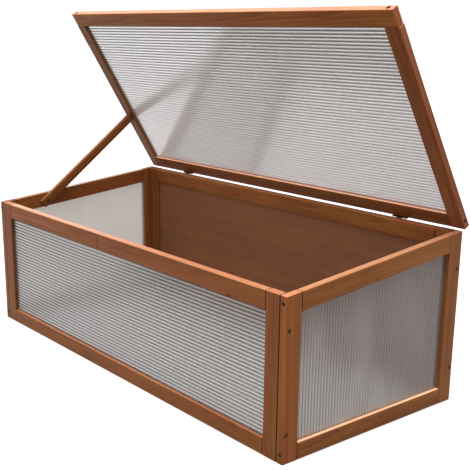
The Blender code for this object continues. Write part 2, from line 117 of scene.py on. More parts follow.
# Prop stick: its end below the pivot, section, eased edges, hole, and gap to the lid's rail
PROP_HEEL = 0.0135
PROP_WIDTH = 0.020
PROP_THICKNESS = 0.010
PROP_BEVEL = 0.0011
PROP_HOLE = 0.0021
PROP_CLEARANCE = 0.0004

# Brightness of surroundings and floor, as seen directly, in gloss, through the sheets and by
# matt surfaces; seen through a sheet, the floor is darker as painted shade for the box's inside.
# Past the left end, between the two places in X, it turns to the lighter FLOOR_BEYOND.
SKY = {"camera": 1.0, "gloss": 2.6, "through": 1.0, "matt": 0.24}
FLOOR = {"camera": 0.93, "gloss": 0.72, "through": 0.42, "matt": 0.12}
FLOOR_BEYOND = (0.66, 0.64, 0.61)
BEYOND_FROM, BEYOND_TO = -0.52, -0.75
FLOOR_GLOW = 0.35
FLOOR_RADIUS = 30.0

# Suns: direction to them, width in degrees, strength
LIGHTS = {
    "key": ((0.03, -0.07, 1.0), 44, 4.4),
    "rim": ((-0.70, 0.55, 0.50), 40, 0.8),
    "fill": ((0.85, -0.76, 0.50), 70, 0.46),
}

# Linear colours: stains from dark latewood to pale earlywood, painted shade for the seams, marks
# that interrupt the stains, end grain from pale to dark, plywood from dark to pale, and steel
STAIN = ((0.212, 0.050, 0.013), (0.336, 0.096, 0.026), (0.470, 0.158, 0.046))
STAIN_YELLOW = ((0.192, 0.055, 0.012), (0.312, 0.106, 0.024), (0.438, 0.168, 0.043))
PAINTED_SEAM_SHADE = (0.030, 0.010, 0.005)
JOINT_LINE = (0.060, 0.018, 0.007)
KNOT, KNOT_HALO = (0.070, 0.020, 0.008), (0.200, 0.058, 0.018)
MARK, MARK_HALO = (0.060, 0.016, 0.006), (0.170, 0.045, 0.014)
END_GRAIN = ((0.420, 0.135, 0.048), (0.270, 0.080, 0.028))
PLYWOOD = ((0.150, 0.044, 0.011), (0.245, 0.076, 0.020), (0.335, 0.118, 0.034))
SCREW_STEEL = (0.055, 0.034, 0.020)
HINGE_STEEL = (0.080, 0.056, 0.040)

# Distance between growth rings, and how far they wander
RING_SPACING = 0.0032
WARP = 0.012

# Painted light and shade on faces open to the sky, or away from the lid's rear: colour, how far
PAINTED_TOP_LIGHT_AND_SHADE = {
    "lid_front_rail": ((0.90, 0.38, 0.21), 0.30),
    "lid_rear_rail": ((1.00, 0.50, 0.33), 0.55),
    "front": ((0.66, 0.27, 0.13), 0.34),
    "right": ((0.80, 0.39, 0.23), 0.30),
    "right_bottom_rail": ((1.00, 0.60, 0.36), 0.75),
    "front_bottom_rail": ((0.50, 0.20, 0.10), 0.30),
    "left": ((0.10, 0.04, 0.02), 0.50),
    "back": ((0.14, 0.05, 0.02), 0.50),
}

# Boards darker or lighter than the rest: a stain on some, painted light and shade on others,
# such as the lid's front rail, painted lighter where little light reaches it
BOARD_SHADES = {
    "left_front_stile": 0.80,
    "back_left_stile": 0.82,
    "front_left_stile": 0.74,
    "lid_front_rail": 1.40,
    "lid_left_rail": 0.90,
    "lid_rear_rail": 0.95,
    "lid_right_rail": 1.04,
    "right_front_stile": 1.06,
}

# Share of a board that took the stain yellower, in each frame
YELLOW = {"front": 0.35, "right": 0.85, "back": 0.45, "left": 0.35, "lid": 0.55}

# Finger joints and their fingers: place along the board from its middle, width, steepness
SPLICES = {"front_top_rail": -0.058}
FINGER_WIDTH = 0.0021
FINGER_STEEPNESS = 3.0

# Small knots: along the board from its middle, across it from its middle, and length
KNOTS = {
    "right_top_rail": ((-0.122, 0.006, 0.0022), (-0.010, -0.012, 0.0030),
                       (0.060, -0.004, 0.0016)),
    "right_bottom_rail": ((0.020, 0.004, 0.0040), (-0.080, -0.006, 0.0018),
                          (0.115, 0.000, 0.0016)),
    "lid_front_rail": ((0.400, 0.004, 0.0030), (0.452, -0.003, 0.0018)),
    "front_bottom_rail": ((0.300, 0.010, 0.0060), (-0.210, 0.011, 0.0050)),
    "front_left_stile": ((0.020, -0.004, 0.0016),),
}

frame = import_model()
nodes = frame["nodes"]
joints = {joint["name"]: joint for joint in frame["joints"]}


# ---------------------------------------------------------------- geometry helpers


def points(name):
    """Vertices of a CAD node as an array."""
    mesh = nodes[name].data
    found = np.empty(len(mesh.vertices) * 3)
    mesh.vertices.foreach_get("co", found)
    return found.reshape(-1, 3)


def long_axes(name):
    """Rotation whose X, Y and Z columns run along a node's length, width and thickness."""
    cloud = points(name)
    cloud = cloud - (cloud.max(0) + cloud.min(0)) / 2
    values, vectors = np.linalg.eigh(cloud.T @ cloud)
    axes = vectors[:, np.argsort(values)[::-1]].T
    axes = [Vector(axis) * (1 if axis[np.argmax(np.abs(axis))] > 0 else -1) for axis in axes]
    axes[2] = axes[0].cross(axes[1])
    return Matrix(axes).transposed()


def middle(name):
    """Middle of a node's box at rest."""
    low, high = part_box(name)
    return (low + high) / 2


def finish_mesh(name, mesh_data, matrix, materials, body, sharp):
    """Turn a bmesh into a piece that rides on a body, smooth apart from edges over an angle."""
    bmesh.ops.recalc_face_normals(mesh_data, faces=mesh_data.faces)
    mesh = bpy.data.meshes.new(name)
    mesh_data.to_mesh(mesh)
    mesh_data.free()
    mesh.shade_smooth()
    mesh.set_sharp_from_angle(angle=radians(sharp))
    for material in materials:
        mesh.materials.append(material)
    return place_mesh(name, mesh, matrix, body)


def place_mesh(name, mesh, matrix, body):
    """New piece with a mesh, placed and riding on a body."""
    piece = bpy.data.objects.new(name, mesh)
    piece.matrix_world = matrix
    bpy.context.scene.collection.objects.link(piece)
    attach(piece, body)
    return piece


def frame_at(origin, x_axis, y_axis):
    """Placement matrix with the given origin and two axes."""
    x_axis, y_axis = Vector(x_axis).normalized(), Vector(y_axis).normalized()
    turn = Matrix((x_axis, y_axis, x_axis.cross(y_axis))).transposed()
    return Matrix.Translation(origin) @ turn.to_4x4()


# ---------------------------------------------------------------- materials


class Shader:
    """Short calls for putting a material's node tree together."""

    def __init__(self, name):
        self.material = bpy.data.materials.new(name)
        self.material.use_nodes = True
        self.tree = self.material.node_tree
        self.tree.nodes.clear()

    def add(self, kind, inputs=None, **settings):
        node = self.tree.nodes.new("ShaderNode" + kind)
        for key, value in settings.items():
            setattr(node, key, value)
        for key, value in (inputs or {}).items():
            self.feed(node.inputs[key], value)
        return node

    def feed(self, socket, value):
        if isinstance(value, bpy.types.NodeSocket):
            self.tree.links.new(value, socket)
        else:
            socket.default_value = value

    def math(self, operation, *values, clamp=False):
        inputs = dict(enumerate(values))
        return self.add("Math", inputs, operation=operation, use_clamp=clamp).outputs[0]

    def vector(self, operation, *values):
        node = self.add("VectorMath", dict(enumerate(values)), operation=operation)
        return node.outputs["Value" if operation in ("DOT_PRODUCT", "LENGTH") else "Vector"]

    def scaled(self, source, scale):
        return self.add("Mapping", {"Vector": source, "Scale": scale}).outputs[0]

    def noise(self, source, scale, detail=2.0, roughness=0.5):
        """Noise of about 0 to 1 over a vector stretched by scale."""
        inputs = {"Vector": self.scaled(source, scale), "Scale": 1.0, "Detail": detail,
                  "Roughness": roughness}
        return self.add("TexNoise", inputs).outputs[0]

    def span(self, value, low, high, new_low=0.0, new_high=1.0, smooth=False):
        """Value moved from one range to another, and held inside it."""
        kind = "SMOOTHSTEP" if smooth else "LINEAR"
        inputs = {"Value": value, "From Min": low, "From Max": high, "To Min": new_low,
                  "To Max": new_high}
        return self.add("MapRange", inputs, interpolation_type=kind).outputs[0]

    def ramp(self, value, stops):
        node = self.add("ValToRGB", {"Fac": value})
        elements = node.color_ramp.elements
        while len(elements) < len(stops):
            elements.new(0.5)
        for element, (place, colour) in zip(elements, stops):
            element.position = place
            element.color = (*colour, 1.0)
        return node.outputs[0]

    def mix(self, factor, first, second, blend="MIX"):
        node = self.add("Mix", data_type="RGBA", blend_type=blend, clamp_factor=True)
        sockets = [s for s in node.inputs if s.enabled]
        for socket, value in zip(sockets, (factor, first, second)):
            if isinstance(value, tuple):
                value = (*value, 1.0)
            self.feed(socket, value)
        return next(s for s in node.outputs if s.enabled)

    def output(self, surface):
        """Finish the material with a surface and return it."""
        self.add("OutputMaterial", {"Surface": surface})
        return self.material


def finger_joint(s, board, splice):
    """Places in the grain, which jump where a finger joint crosses the board, and its line."""
    split = s.add("SeparateXYZ", {"Vector": board})
    zigzag = s.math("PINGPONG", split.outputs["Y"], FINGER_WIDTH)
    edge = s.math("ADD", s.math("SUBTRACT", split.outputs["X"], splice),
                  s.math("MULTIPLY", zigzag, FINGER_STEEPNESS))
    side = s.math("GREATER_THAN", edge, 0.0)
    jump = s.add("CombineXYZ", {"X": s.math("MULTIPLY", side, 3.7),
                                "Y": s.math("MULTIPLY", side, 0.011)}).outputs[0]
    joint_line = s.span(s.math("ABSOLUTE", edge), 0.0010, 0.0024, 1.0, 0.0)
    return s.vector("ADD", board, jump), joint_line


def growth_rings(s, grain, moved, rng):
    """Rings of 0 to 1 about a pith that runs beside the board, a little out of line with it."""
    warp = s.add("TexNoise", {"Vector": s.scaled(moved, (2.4, 14.0, 14.0)), "Scale": 1.0,
                              "Detail": 2.0}).outputs["Color"]
    warp = s.vector("ADD", warp, (-0.5, -0.5, -0.5))
    warp = s.add("VectorMath", {0: warp, "Scale": WARP}, operation="SCALE").outputs[0]
    pith_angle = rng.uniform(0.15, 0.85) * pi * (1 if rng.random() < 0.5 else -1)
    pith = rng.uniform(0.018, 0.045)
    offset = (0.0, pith * sin(pith_angle) * 0.4, pith * cos(pith_angle))
    tilt = (0.0, rng.uniform(-0.022, 0.022), rng.uniform(-0.018, 0.018))
    curved = s.vector("ADD", grain, warp)
    ringed = s.add("Mapping", {"Vector": curved, "Location": offset, "Rotation": tilt}).outputs[0]
    return s.add("TexWave", {"Vector": s.scaled(ringed, (0.035, 1.0, 1.0)),
                             "Scale": 0.314 / (RING_SPACING * rng.uniform(0.85, 1.25)),
                             "Distortion": 1.3, "Detail": 3.0, "Detail Scale": 0.9,
                             "Detail Roughness": 0.55},
                 wave_type="RINGS", rings_direction="X", wave_profile="SAW").outputs["Fac"]


def with_pin_knots(s, moved, colour):
    """Colour with pin knots strewn over it, one in some of the cells, each in a halo."""
    cells = (2.6, 26.0, 26.0)
    spots = s.add("TexVoronoi", {"Vector": s.scaled(moved, cells), "Scale": 1.0})
    away = s.vector("SUBTRACT", spots.outputs["Position"], s.scaled(moved, cells))
    away = s.scaled(away, (0.7 / cells[0], 1 / cells[1], 1 / cells[2]))
    reach = s.vector("LENGTH", away)
    chosen = s.math("GREATER_THAN", s.add("SeparateColor", {
        "Color": spots.outputs["Color"]}).outputs[0], 0.62)
    knot = s.math("MULTIPLY", chosen, s.span(reach, 0.0018, 0.0042, 1.0, 0.0, smooth=True))
    halo = s.math("MULTIPLY", chosen, s.span(reach, 0.003, 0.013, 0.35, 0.0, smooth=True))
    return s.mix(knot, s.mix(halo, colour, KNOT_HALO), KNOT)


def with_marks(s, board, marks, colour):
    """Colour with the small knots that a board has at known places."""
    for along, across, length in marks:
        spot = s.vector("SUBTRACT", board, (along, across, 0.0))
        spot = s.scaled(spot, (0.0016 / length, 1.0, 0.0))
        ragged = s.math("MULTIPLY", s.noise(board, (500.0, 900.0, 900.0), 2.0), 0.0012)
        size = s.math("ADD", s.vector("LENGTH", spot), ragged)
        colour = s.mix(s.span(size, 0.0012, 0.0048, 0.45, 0.0, smooth=True), colour, MARK_HALO)
        colour = s.mix(s.span(size, 0.0010, 0.0022, 0.85, 0.0), colour, MARK)
    return colour


def timber(name, turn, centre, seed, shade=1.0, yellow=0.5, splice=None, marks=(),
           topside=None, open_side=Vector((0, 0, 1)), seams=()):
    """Stained softwood: growth rings about a pith outside the board, fibres, knots, end grain.

    turn holds the board's axes, with its grain along X. yellow is the share of the board that
    took the stain yellower. splice is where along the board a finger joint ends one length of
    timber and begins the next. marks are small knots, as (along, across, length). topside is
    the painted light and shade on the faces that look along open_side: the colour painted there
    and how far. seams are planes, as (axis, place), along which the board meets another, each
    with a line of painted shade along it.
    """
    rng = np.random.default_rng(seed)
    s = Shader(name)
    where = s.add("TexCoord")
    board = s.add("Mapping", {"Vector": where.outputs["Object"], "Location": centre,
                              "Rotation": turn.to_euler()}, vector_type="TEXTURE").outputs[0]
    grain, joint_line = (board, None) if splice is None else finger_joint(s, board, splice)
    moved = s.vector("ADD", grain, Vector(rng.uniform(-5, 5, 3)))

    rings = growth_rings(s, grain, moved, rng)
    late = s.math("POWER", rings, 2.2)
    streak = s.noise(moved, (3.0, 150.0, 150.0), 4.0, 0.6)
    fibre = s.noise(moved, (22.0, 1500.0, 1500.0), 2.0)
    blotch = s.noise(moved, (4.5, 26.0, 26.0), 3.0, 0.6)
    cloud = s.noise(moved, (1.6, 55.0, 55.0), 2.0)

    tone = s.math("ADD", s.math("MULTIPLY", late, -0.17), s.math("MULTIPLY", streak, 0.60))
    tone = s.math("ADD", tone, s.math("MULTIPLY", fibre, 0.22))
    tone = s.math("ADD", tone, s.math("MULTIPLY", blotch, 0.46))
    tone = s.span(tone, 0.34, 0.80)
    red = s.ramp(tone, list(zip((0.05, 0.5, 0.95), STAIN)))
    yellow_brown = s.ramp(tone, list(zip((0.05, 0.5, 0.95), STAIN_YELLOW)))
    turning = 0.68 - 0.36 * yellow
    colour = s.mix(s.span(cloud, turning - 0.10, turning + 0.10, smooth=True), red, yellow_brown)

    colour = with_pin_knots(s, moved, colour)
    colour = with_marks(s, board, marks, colour)
    if joint_line is not None:
        colour = s.mix(s.math("MULTIPLY", joint_line, 0.90), colour, JOINT_LINE)

    length_axis = turn @ Vector((1, 0, 0))
    cut = s.math("ABSOLUTE", s.vector("DOT_PRODUCT", where.outputs["Normal"], length_axis))
    cut = s.span(cut, 0.75, 0.92)
    end_colour = s.mix(s.span(rings, 0.2, 0.95), *END_GRAIN)
    colour = s.mix(cut, colour, end_colour)
    colour = s.mix(1.0, colour, (shade, shade, shade), blend="MULTIPLY")
    # Painted light and shade on the faces that look along open_side, varying in patches
    if topside:
        upward = s.vector("DOT_PRODUCT", where.outputs["Normal"], open_side)
        painted_top_colour, amount = topside
        painted_top_mask = s.math("MULTIPLY", s.span(upward, 0.90, 0.985, smooth=True),
                           s.span(blotch, 0.3, 0.7, 0.7 * amount, 1.3 * amount))
        colour = s.mix(painted_top_mask, colour, painted_top_colour)
    # Painted shade: a dark line along each seam, for the shade in the gap between boards
    places = s.add("SeparateXYZ", {"Vector": where.outputs["Object"]})
    for axis, place in seams:
        near = s.math("ABSOLUTE", s.math("SUBTRACT", places.outputs[axis], place))
        colour = s.mix(s.span(near, 0.0007, 0.0018, 0.90, 0.0), colour, PAINTED_SEAM_SHADE)

    gloss = s.math("ADD", s.span(fibre, 0.3, 0.7, 0.40, 0.52), s.math("MULTIPLY", cut, 0.25))
    relief = s.math("ADD", s.math("MULTIPLY", late, 0.45), s.math("MULTIPLY", fibre, 0.55))
    bump = s.add("Bump", {"Height": relief, "Strength": 0.35, "Distance": 0.0003}).outputs[0]
    surface = s.add("BsdfPrincipled", {"Base Color": colour, "Roughness": gloss, "Normal": bump,
                                       "IOR": 1.47, "Specular IOR Level": 0.15})
    return s.output(surface.outputs[0])


def plywood(name, centre):
    """Rotary-cut face veneer under a matt brown stain."""
    s = Shader(name)
    where = s.add("TexCoord").outputs["Object"]
    board = s.vector("SUBTRACT", where, centre)
    figure = s.add("TexWave", {"Vector": s.scaled(board, (0.10, 1.0, 1.0)), "Scale": 9.0,
                               "Distortion": 9.0, "Detail": 3.0, "Detail Scale": 0.55,
                               "Detail Roughness": 0.6},
                   wave_type="BANDS", bands_direction="Z", wave_profile="SIN").outputs["Fac"]
    pores = s.noise(board, (40.0, 900.0, 900.0), 2.0)
    streak = s.noise(board, (3.0, 60.0, 60.0), 4.0, 0.6)
    blotch = s.noise(board, (4.0, 7.0, 7.0), 3.0, 0.5)
    tone = s.math("ADD", s.math("MULTIPLY", figure, 0.06), s.math("MULTIPLY", streak, 0.34))
    tone = s.math("ADD", tone, s.math("MULTIPLY", blotch, 0.60))
    tone = s.math("ADD", tone, s.math("MULTIPLY", pores, 0.20))
    colour = s.ramp(s.span(tone, 0.38, 0.86), list(zip((0.0, 0.5, 1.0), PLYWOOD)))
    rough = s.span(pores, 0.3, 0.7, 0.55, 0.72)
    bump = s.add("Bump", {"Height": pores, "Strength": 0.3, "Distance": 0.0002}).outputs[0]
    surface = s.add("BsdfPrincipled", {"Base Color": colour, "Roughness": rough, "Normal": bump})
    return s.output(surface.outputs[0])


def sheet_lines(s, where, first_rib, cell, half_length, fade, fade_along, bleary):
    """1 over the clear middle of each cell and 0 over the ribs, for a sheet with ribs along X.

    fade and fade_along are how far the lines have gone by the far side and the far end of the
    sheet, and bleary how far they go in patches.
    """
    places = s.add("SeparateXYZ", {"Vector": where})
    across = places.outputs["Y"]
    from_rib = s.math("PINGPONG", s.math("SUBTRACT", across, first_rib), cell / 2)
    cells = s.span(from_rib, cell * 0.13, cell * 0.32, smooth=True)
    cells = s.math("MAXIMUM", cells, s.span(across, first_rib, -first_rib, 0.0, fade))
    cells = s.math("MAXIMUM", cells, s.span(places.outputs["X"], -half_length, half_length, 0.0,
                                            fade_along))
    bleared = s.span(s.noise(where, (5.0, 14.0, 14.0), 2.0), 0.42, 0.68, 0.0, bleary, smooth=True)
    return s.math("MAXIMUM", cells, bleared)


def sheet_skin(name, first_rib, cell, half_length, clear, line, haze, line_haze, frost=0.56,
               sheen=1.5, line_sheen=0.2, top_sheen=1.0, backlit=0.0, fade=0.0, fade_along=0.0,
               fade_under=0.0, bleary=0.0, hue=(1.02, 0.975, 0.95)):
    """Outer faces: hazy plastic that blurs what is behind it, darker where a rib stands behind.

    first_rib is where the first rib stands, cell the distance from one rib to the next, and
    half_length half the length of the ribs. clear and line are how much light passes between
    and over the ribs, and the hazes and sheens are how milky and how glossy the plastic is
    there. frost is how much it blurs. top_sheen is the share of its gloss the upper face keeps,
    and fade_under how far the lines have gone on the lower one; the other fades and bleary are
    as in sheet_lines. backlit is how much of the milk glows with the light behind it, and hue
    tints the light that passes.
    """
    s = Shader(name)
    where = s.add("TexCoord").outputs["Object"]
    upward = s.add("SeparateXYZ", {"Vector": s.add("TexCoord").outputs["Normal"]}).outputs["Z"]
    cells = sheet_lines(s, where, first_rib, cell, half_length, fade, fade_along, bleary)
    cells = s.math("MAXIMUM", cells, s.span(upward, -0.2, 0.2, fade_under, 0.0))
    dust = s.noise(where, (9.0, 14.0, 14.0), 4.0, 0.6)
    scuff = s.noise(where, (60.0, 700.0, 700.0), 2.0)
    milky = s.span(cells, 0.0, 1.0, line_haze, haze)
    milky = s.math("MULTIPLY", milky, s.span(dust, 0.3, 0.7, 0.86, 1.14))
    milky = s.math("ADD", milky, s.span(scuff, 0.3, 0.7, -0.02, 0.02), clamp=True)
    tint = s.mix(cells, tuple(line * part for part in hue), tuple(clear * part for part in hue))
    # A low IOR, because a thin skin hardly bends the light that it passes
    blur = s.add("BsdfPrincipled", {"Base Color": tint, "Roughness": frost, "IOR": 1.16,
                                    "Transmission Weight": 1.0}).outputs[0]
    milk = s.add("BsdfPrincipled", {"Base Color": (0.88, 0.815, 0.785, 1.0), "Roughness": 0.40,
                                    "Specular IOR Level": 0.1}).outputs[0]
    if backlit:
        glow = s.add("BsdfTranslucent", {"Color": (0.95, 0.91, 0.86, 1.0)}).outputs[0]
        milk = s.add("MixShader", {0: backlit, 1: milk, 2: glow}).outputs[0]
    body = s.add("MixShader", {0: milky, 1: blur, 2: milk}).outputs[0]
    mirror = s.add("BsdfAnisotropic", {"Color": (0.93, 0.92, 0.93, 1.0),
                                       "Roughness": 0.11}).outputs[0]
    facing = s.math("SUBTRACT", 1.0, s.add("NewGeometry").outputs["Backfacing"])
    gloss = s.math("MULTIPLY", s.add("Fresnel", {"IOR": 1.585}).outputs[0], facing)
    gloss = s.math("MULTIPLY", gloss, s.span(cells, 0.0, 1.0, line_sheen, sheen), clamp=True)
    gloss = s.math("MULTIPLY", gloss, s.span(upward, -0.2, 0.2, 1.0, top_sheen))
    body = s.add("MixShader", {0: gloss, 1: body, 2: mirror}).outputs[0]
    return s.output(lets_light_by(s, body, 0.91))


def lets_light_by(s, surface, share):
    """Surface that lets that share of the light on what is behind it straight through."""
    rays = s.add("LightPath")
    lit = s.math("MAXIMUM", rays.outputs["Is Shadow Ray"], rays.outputs["Is Diffuse Ray"])
    open_path = s.add("BsdfTransparent", {"Color": (share, share, share, 1.0)}).outputs[0]
    return s.add("MixShader", {0: lit, 1: surface, 2: open_path}).outputs[0]


def sheet_channel(name):
    """Inside of a channel: clear plastic with a faint bloom."""
    s = Shader(name)
    where = s.add("TexCoord").outputs["Object"]
    bloom = s.span(s.noise(where, (12.0, 40.0, 40.0), 3.0), 0.3, 0.7, 0.01, 0.04)
    clear = s.add("BsdfTransparent", {"Color": (0.98, 0.98, 0.98, 1.0)}).outputs[0]
    milk = s.add("BsdfPrincipled", {"Base Color": (0.72, 0.71, 0.70, 1.0),
                                    "Roughness": 0.30}).outputs[0]
    return s.output(s.add("MixShader", {0: bloom, 1: clear, 2: milk}).outputs[0])


def sheet_rib(name):
    """Side of a rib: thicker plastic seen edge on, so duller than the skins."""
    s = Shader(name)
    where = s.add("TexCoord").outputs["Object"]
    cloudy = s.span(s.noise(where, (30.0, 30.0, 30.0), 3.0), 0.3, 0.7, 0.20, 0.32)
    clear = s.add("BsdfTransparent", {"Color": (0.55, 0.54, 0.54, 1.0)}).outputs[0]
    milk = s.add("BsdfPrincipled", {"Base Color": (0.42, 0.40, 0.39, 1.0),
                                    "Roughness": 0.25}).outputs[0]
    wall = s.add("MixShader", {0: cloudy, 1: clear, 2: milk}).outputs[0]
    return s.output(lets_light_by(s, wall, 0.94))


def steel(name, tint):
    """Dark bronzed steel with faint streaks and dulled patches."""
    s = Shader(name)
    where = s.add("TexCoord").outputs["Object"]
    patch = s.noise(where, (160.0, 160.0, 160.0), 4.0, 0.6)
    grain = s.noise(where, (300.0, 2600.0, 2600.0), 2.0)
    dark = tuple(0.62 * part for part in tint)
    colour = s.ramp(s.span(patch, 0.3, 0.7), [(0.0, dark), (1.0, tint)])
    rough = s.math("ADD", s.span(patch, 0.3, 0.7, 0.30, 0.46), s.math("MULTIPLY", grain, 0.08))
    bump = s.add("Bump", {"Height": grain, "Strength": 0.15, "Distance": 0.0001}).outputs[0]
    surface = s.add("BsdfPrincipled", {"Base Color": colour, "Roughness": rough, "Normal": bump,
                                       "Metallic": 1.0})
    return s.output(surface.outputs[0])


# ---------------------------------------------------------------- pieces


def paint(name, material):
    """Give a CAD node one material."""
    mesh = nodes[name].data
    mesh.materials.clear()
    mesh.materials.append(material)


def seams_of(name):
    """Planes where a rail of the box butts its stiles, or a long frame's stile its end frame."""
    side, *rest = name.split("_")
    if side in ("left", "right"):
        ends = (("Y", nodes[side + "_front_stile"], 1), ("Y", nodes[side + "_rear_stile"], 0))
    elif side in ("front", "back"):
        ends = (("X", nodes[side + "_left_stile"], 1), ("X", nodes[side + "_right_stile"], 0))
    else:
        return ()
    if rest[-1] == "rail":
        return [(axis, getattr(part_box(stile.name)[far], axis.lower()))
                for axis, stile, far in ends]
    if side in ("front", "back"):
        return [("X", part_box(name)[rest[0] == "right"].x)]
    return ()


def paint_timber():
    """Give every board its own run of grain along its own length."""
    boards = sorted(name for name in nodes if name.endswith(("_stile", "_rail")))
    for seed, name in enumerate(boards):
        shade = np.random.default_rng(seed + 400).uniform(0.90, 1.08)
        # Part stain, part painted light and shade
        shade *= BOARD_SHADES.get(name, 1.0)
        paint(name, timber(name + "_timber", long_axes(name), middle(name), seed + 11,
                           shade=shade, yellow=YELLOW[name.split("_")[0]],
                           splice=SPLICES.get(name), marks=KNOTS.get(name, ()),
                           topside=PAINTED_TOP_LIGHT_AND_SHADE.get(name, PAINTED_TOP_LIGHT_AND_SHADE.get(name.split("_")[0])),
                           open_side=-LID_REAR if name.startswith("lid") else Vector((0, 0, 1)),
                           seams=seams_of(name)))


def sheet_stations(cell):
    """Distances across one cell at which its skins get a line of vertices."""
    lip = RIB / 2
    flat = lip + FILLET
    steps = 5
    inside = [flat + (cell - 2 * flat) * step / steps for step in range(steps + 1)]
    return [0.0, lip] + inside + [cell - lip]


def build_sheet(name, axes, body, slope):
    """Twin-wall sheet with hollow cells, in place of its CAD node.

    axes are the directions of the channels and across them. slope is how much the far end of
    the channels rises for each metre across.
    """
    along, across = Vector(axes[0]), Vector(axes[1])
    start = frame_at(middle(name), along, across)
    local = points(name) @ np.array(start.to_3x3()) - np.array(
        start.to_3x3().transposed() @ start.translation)
    low, high = Vector(local.min(0)), Vector(local.max(0))
    cells = round((high.y - low.y) / CELL)
    cell = (high.y - low.y - RIB) / cells
    stations = sheet_stations(cell)
    half = (high.z - low.z) / 2
    far_end = max(point[0] for point in local if point[1] < low.y + 0.002)

    def ends(v):
        return low.x, far_end + slope * (v - low.y)

    mesh_data = bmesh.new()

    def pair(v, w):
        near, far = ends(v)
        return (mesh_data.verts.new((near, v, w)), mesh_data.verts.new((far, v, w)))

    # Per cell, a row of outer and inner vertex pairs at each station, each on both faces
    rails = []
    last = low.y + RIB / 2 + cells * cell
    edge_low = [pair(low.y, half), pair(low.y, -half)]
    for index in range(cells):
        base = low.y + RIB / 2 + index * cell
        rows = []
        for station in stations:
            v = base + station
            sink = SINK * (1 - cos(2 * pi * station / cell)) / 2
            outer = (pair(v, half - sink), pair(v, -half + sink))
            inner = None
            if station > 0:
                corner = FILLET if station in (stations[1], stations[-1]) else 0.0
                level = half - SKIN - corner - (0 if corner else sink)
                inner = (pair(v, level), pair(v, -level))
            rows.append((outer, inner))
        rails.append(rows)
    final = (pair(last, half), pair(last, -half))
    edge_high = [pair(high.y, half), pair(high.y, -half)]

    def strip(first, second, slot=0):
        face = mesh_data.faces.new((first[0], second[0], second[1], first[1]))
        face.material_index = slot

    def cap(*pairs):
        for end in (0, 1):
            mesh_data.faces.new([item[end] for item in pairs])

    # Solid margins, then the skins, channels and ribs of each cell
    strip(edge_low[0], rails[0][0][0][0])
    strip(edge_low[1], rails[0][0][0][1])
    strip(edge_low[0], edge_low[1])
    strip(final[0], edge_high[0])
    strip(final[1], edge_high[1])
    strip(edge_high[0], edge_high[1])
    for index, rows in enumerate(rails):
        after = rails[index + 1][0][0] if index + 1 < cells else final
        outers = [row[0] for row in rows] + [after]
        inners = [row[1] for row in rows[1:]]
        for side in (0, 1):
            for first, second in zip(outers, outers[1:]):
                strip(first[side], second[side])
            for first, second in zip(inners, inners[1:]):
                strip(first[side], second[side], 2)
            for step in range(len(inners) - 1):
                cap(outers[step + 1][side], outers[step + 2][side], inners[step + 1][side],
                    inners[step][side])
        strip(inners[0][0], inners[0][1], 1)
        strip(inners[-1][0], inners[-1][1], 1)
        if index + 1 < cells:
            ahead = rails[index + 1]
            cap(outers[-2][0], after[0], ahead[1][0][0], ahead[1][1][0], ahead[1][1][1],
                ahead[1][0][1], after[1], outers[-2][1], inners[-1][1], inners[-1][0])
    # Ends of the two margins
    first_row = rails[0]
    cap(edge_low[0], first_row[0][0][0], first_row[1][0][0], first_row[1][1][0],
        first_row[1][1][1], first_row[1][0][1], first_row[0][0][1], edge_low[1])
    last_rows = rails[-1]
    cap(last_rows[-1][0][0], final[0], edge_high[0], edge_high[1], final[1],
        last_rows[-1][0][1], last_rows[-1][1][1], last_rows[-1][1][0])

    skin = sheet_skin(name + "_skin", low.y + RIB / 2, cell, high.x, **SHEET_LOOKS[name])
    looks = (skin, RIB_LOOK, CHANNEL_LOOK)
    piece = finish_mesh(name + "_twin_wall", mesh_data, start, looks, body, SHEET_SHARP)
    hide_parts(name)
    return piece


def turned(mesh_data, profile, sides):
    """Closed solid of revolution about Z from (radius, height) points."""
    rings = []
    for radius, height in profile:
        if radius == 0:
            rings.append([mesh_data.verts.new((0, 0, height))])
            continue
        rings.append([mesh_data.verts.new((radius * cos(2 * pi * k / sides),
                                           radius * sin(2 * pi * k / sides), height))
                      for k in range(sides)])
    for first, second in zip(rings, rings[1:]):
        for k in range(sides):
            after = (k + 1) % sides
            if len(first) == 1:
                mesh_data.faces.new((first[0], second[k], second[after]))
            elif len(second) == 1:
                mesh_data.faces.new((first[k], first[after], second[0]))
            else:
                mesh_data.faces.new((first[k], first[after], second[after], second[k]))


def recess_cutter(width, depth):
    """Cross-shaped driver recess that narrows as it goes down."""
    mesh_data = bmesh.new()
    slot = width * 0.17
    outline = [(width, slot), (slot, slot), (slot, width)]
    cross = []
    for quarter in range(4):
        for x, y in outline:
            for _ in range(quarter):
                x, y = -y, x
            cross.append((x, y))
    top = [mesh_data.verts.new((x, y, -depth * 0.5)) for x, y in cross]
    bottom = [mesh_data.verts.new((x * 0.45, y * 0.45, depth)) for x, y in cross]
    mesh_data.faces.new(top)
    mesh_data.faces.new(bottom)
    for k in range(len(cross)):
        after = (k + 1) % len(cross)
        mesh_data.faces.new((top[k], top[after], bottom[after], bottom[k]))
    return mesh_data


def carved(name, mesh_data, cutter_data, material):
    """Mesh of one bmesh with another taken out of it."""
    made = []
    for label, data in (("body", mesh_data), ("cutter", cutter_data)):
        bmesh.ops.recalc_face_normals(data, faces=data.faces)
        mesh = bpy.data.meshes.new(f"{name}_{label}")
        data.to_mesh(mesh)
        data.free()
        item = bpy.data.objects.new(f"{name}_{label}", mesh)
        bpy.context.scene.collection.objects.link(item)
        made.append(item)
    modifier = made[0].modifiers.new("Recess", "BOOLEAN")
    modifier.operation = "DIFFERENCE"
    modifier.solver = "EXACT"
    modifier.object = made[1]
    bpy.context.view_layer.update()
    graph = bpy.context.evaluated_depsgraph_get()
    result = bpy.data.meshes.new_from_object(made[0].evaluated_get(graph))
    result.name = name
    for item in made:
        bpy.data.objects.remove(item, do_unlink=True)
    result.materials.clear()
    result.materials.append(material)
    result.shade_smooth()
    result.set_sharp_from_angle(angle=radians(CARVED_SHARP))
    return result


